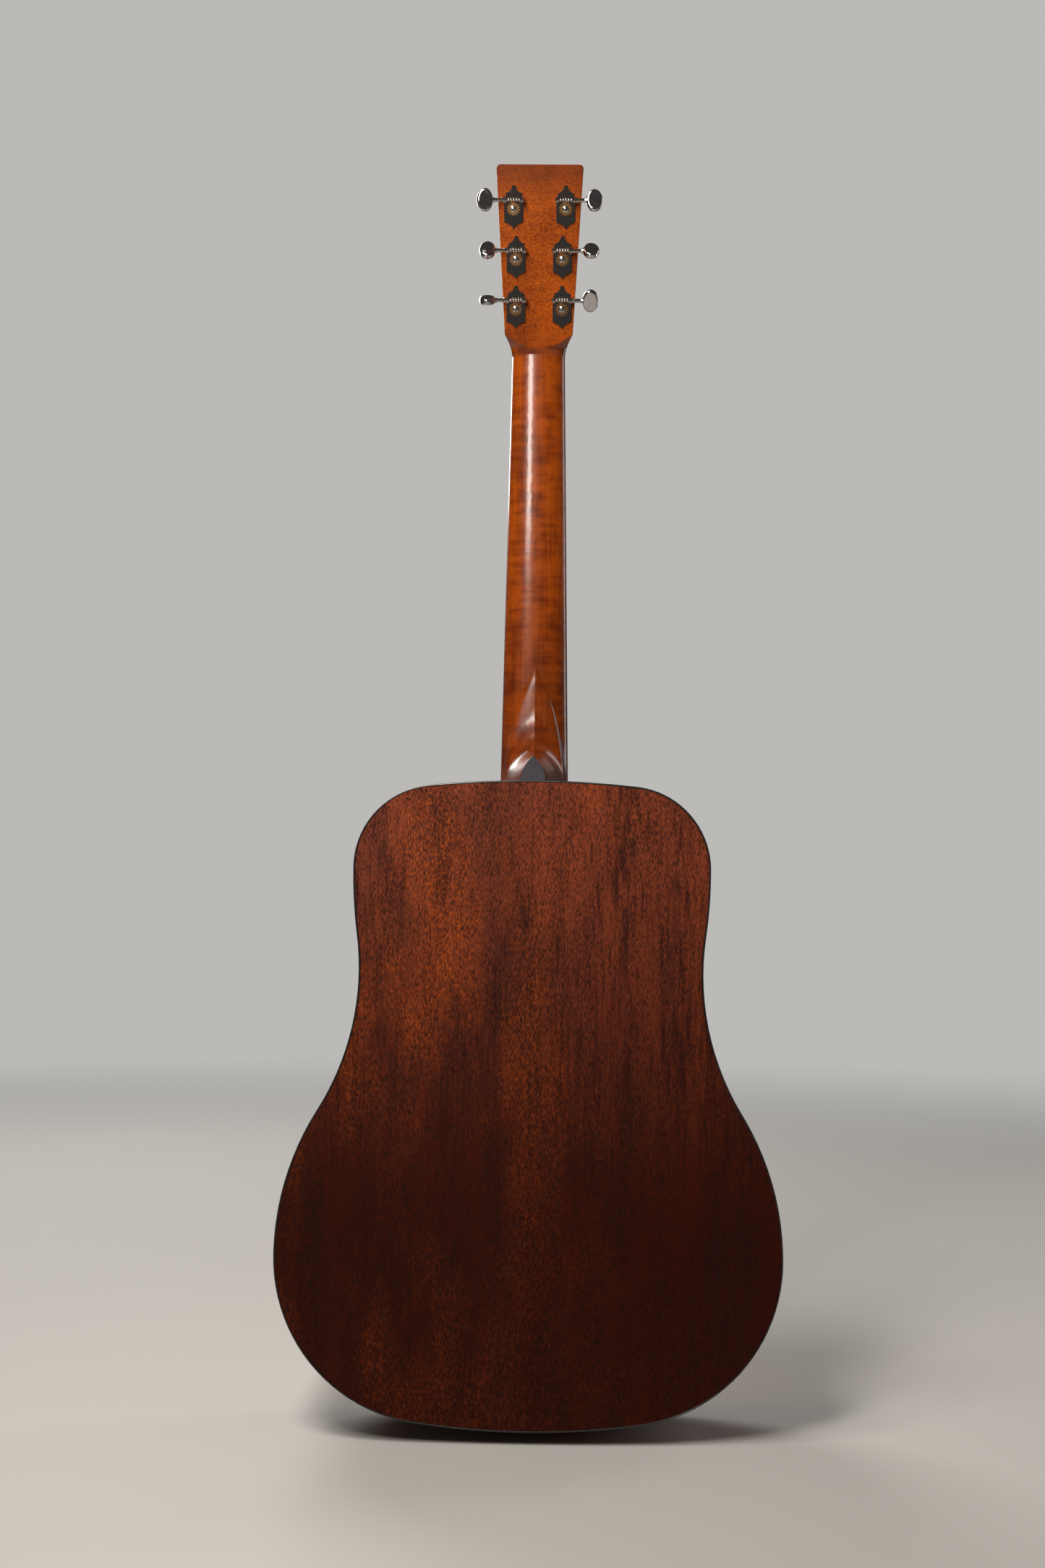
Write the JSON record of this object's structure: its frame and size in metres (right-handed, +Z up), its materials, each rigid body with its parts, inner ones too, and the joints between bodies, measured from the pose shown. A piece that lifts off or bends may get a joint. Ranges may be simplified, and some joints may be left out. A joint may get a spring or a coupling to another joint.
{
  "type": "acoustic guitar",
  "caption": "Full-size steel-string acoustic guitar, square-shouldered body, bookmatched arched back, glued neck with tapered headstock and open-gear tuners.",
  "frame": {"origin": "centre of the end pin's outer face, the lowest point of the upright guitar", "axes": "+Z up the neck towards the headstock, +Y the way the soundboard faces, +X towards the bass side"},
  "size_m": [0.3984, 0.1375, 1.0334],
  "materials": {
    "spruce_top": "satin",
    "mahogany_back": "satin",
    "mahogany_neck": "satin",
    "mahogany_inside": "raw",
    "spruce_inside": "raw",
    "maple_plate": "raw",
    "rosewood": "oiled",
    "headplate_rosewood": "gloss",
    "black_binding": "satin",
    "heel_cap_black": "satin",
    "rosette_inlay": "inlaid rings",
    "tortoise_pickguard": "polished",
    "bone": "polished",
    "bridge_pin_plastic": "polished",
    "end_pin_plastic": "polished",
    "pearl": "inlaid",
    "fret_nickel": "polished",
    "nickel_plate": "polished nickel",
    "nickel_knob": "polished nickel",
    "gear_bronze": "bronze",
    "rod_steel": "plain",
    "bronze_string": "wound"
  },
  "bodies": {
    "root": {"soundboard": "spruce_top", "back_bass": "mahogany_back", "back_treble": "mahogany_back", "side_bass": "mahogany_back", "side_treble": "mahogany_back", "end_graft": "black_binding", "neck_block": "mahogany_inside", "tail_block": "mahogany_inside", "linings": "spruce_inside", "top_binding": "black_binding", "back_binding": "black_binding", "rosette": "rosette_inlay", "top_braces": "spruce_inside", "bridge_plate": "maple_plate", "back_braces": "spruce_inside", "back_strip": "spruce_inside", "pickguard": "tortoise_pickguard", "bridge": "rosewood", "saddle": "bone", "bridge_pins": "bridge_pin_plastic", "end_pin": "end_pin_plastic", "neck": "mahogany_neck", "heel_cap": "heel_cap_black", "fretboard": "rosewood", "frets": "fret_nickel", "fret_markers": "pearl", "nut": "bone", "headplate": "headplate_rosewood", "truss_rod": "rod_steel", "tuner_plates": "nickel_plate", "tuner_bushings": "nickel_plate", "plate_screws": "nickel_plate", "strings": "bronze_string"},
    "truss_adjuster": {"truss_nut": "rod_steel"},
    "key_1": {"worm_shaft_1": "nickel_plate", "knob_1": "nickel_knob"},
    "string_post_1": {"gear_1": "gear_bronze", "post_1": "nickel_plate"},
    "key_2": {"worm_shaft_2": "nickel_plate", "knob_2": "nickel_knob"},
    "string_post_2": {"gear_2": "gear_bronze", "post_2": "nickel_plate"},
    "key_3": {"worm_shaft_3": "nickel_plate", "knob_3": "nickel_knob"},
    "string_post_3": {"gear_3": "gear_bronze", "post_3": "nickel_plate"},
    "key_4": {"worm_shaft_4": "nickel_plate", "knob_4": "nickel_knob"},
    "string_post_4": {"gear_4": "gear_bronze", "post_4": "nickel_plate"},
    "key_5": {"worm_shaft_5": "nickel_plate", "knob_5": "nickel_knob"},
    "string_post_5": {"gear_5": "gear_bronze", "post_5": "nickel_plate"},
    "key_6": {"worm_shaft_6": "nickel_plate", "knob_6": "nickel_knob"},
    "string_post_6": {"gear_6": "gear_bronze", "post_6": "nickel_plate"}
  },
  "joints": [
    {"name": "key_1_turn", "type": "hinge", "parent": "root", "child": "key_1", "pos_m": [-0.0193, 0.03099, 0.92177], "axis": [-1, 0, 0], "continuous": true},
    {"name": "post_1_turn", "type": "hinge", "parent": "root", "child": "string_post_1", "pos_m": [-0.0193, 0.03751, 0.91596], "axis": [0, -0.9659, -0.2588], "continuous": true},
    {"name": "key_2_turn", "type": "hinge", "parent": "root", "child": "key_2", "pos_m": [-0.0193, 0.0205, 0.96089], "axis": [-1, 0, 0], "continuous": true},
    {"name": "post_2_turn", "type": "hinge", "parent": "root", "child": "string_post_2", "pos_m": [-0.0193, 0.02703, 0.95508], "axis": [0, -0.9659, -0.2588], "continuous": true},
    {"name": "key_3_turn", "type": "hinge", "parent": "root", "child": "key_3", "pos_m": [-0.0216, 0.01002, 1.00001], "axis": [-1, 0, 0], "continuous": true},
    {"name": "post_3_turn", "type": "hinge", "parent": "root", "child": "string_post_3", "pos_m": [-0.0216, 0.01655, 0.9942], "axis": [0, -0.9659, -0.2588], "continuous": true},
    {"name": "key_4_turn", "type": "hinge", "parent": "root", "child": "key_4", "pos_m": [0.0216, 0.01002, 1.00001], "axis": [1, 0, 0], "continuous": true},
    {"name": "post_4_turn", "type": "hinge", "parent": "root", "child": "string_post_4", "pos_m": [0.0216, 0.01655, 0.9942], "axis": [0, -0.9659, -0.2588], "continuous": true},
    {"name": "key_5_turn", "type": "hinge", "parent": "root", "child": "key_5", "pos_m": [0.0193, 0.0205, 0.96089], "axis": [1, 0, 0], "continuous": true},
    {"name": "post_5_turn", "type": "hinge", "parent": "root", "child": "string_post_5", "pos_m": [0.0193, 0.02703, 0.95508], "axis": [0, -0.9659, -0.2588], "continuous": true},
    {"name": "key_6_turn", "type": "hinge", "parent": "root", "child": "key_6", "pos_m": [0.0193, 0.03099, 0.92177], "axis": [1, 0, 0], "continuous": true},
    {"name": "post_6_turn", "type": "hinge", "parent": "root", "child": "string_post_6", "pos_m": [0.0193, 0.03751, 0.91596], "axis": [0, -0.9659, -0.2588], "continuous": true},
    {"name": "truss_nut_turn", "type": "hinge", "parent": "root", "child": "truss_adjuster", "pos_m": [0, 0.0536, 0.468], "axis": [0, 0, 1], "range_deg": [-360, 360]}
  ],
  "couplings": [
    {"joint": "post_1_turn", "follows": "key_1_turn", "ratio": -0.066667},
    {"joint": "post_2_turn", "follows": "key_2_turn", "ratio": -0.066667},
    {"joint": "post_3_turn", "follows": "key_3_turn", "ratio": -0.066667},
    {"joint": "post_4_turn", "follows": "key_4_turn", "ratio": 0.066667},
    {"joint": "post_5_turn", "follows": "key_5_turn", "ratio": 0.066667},
    {"joint": "post_6_turn", "follows": "key_6_turn", "ratio": 0.066667}
  ]
}
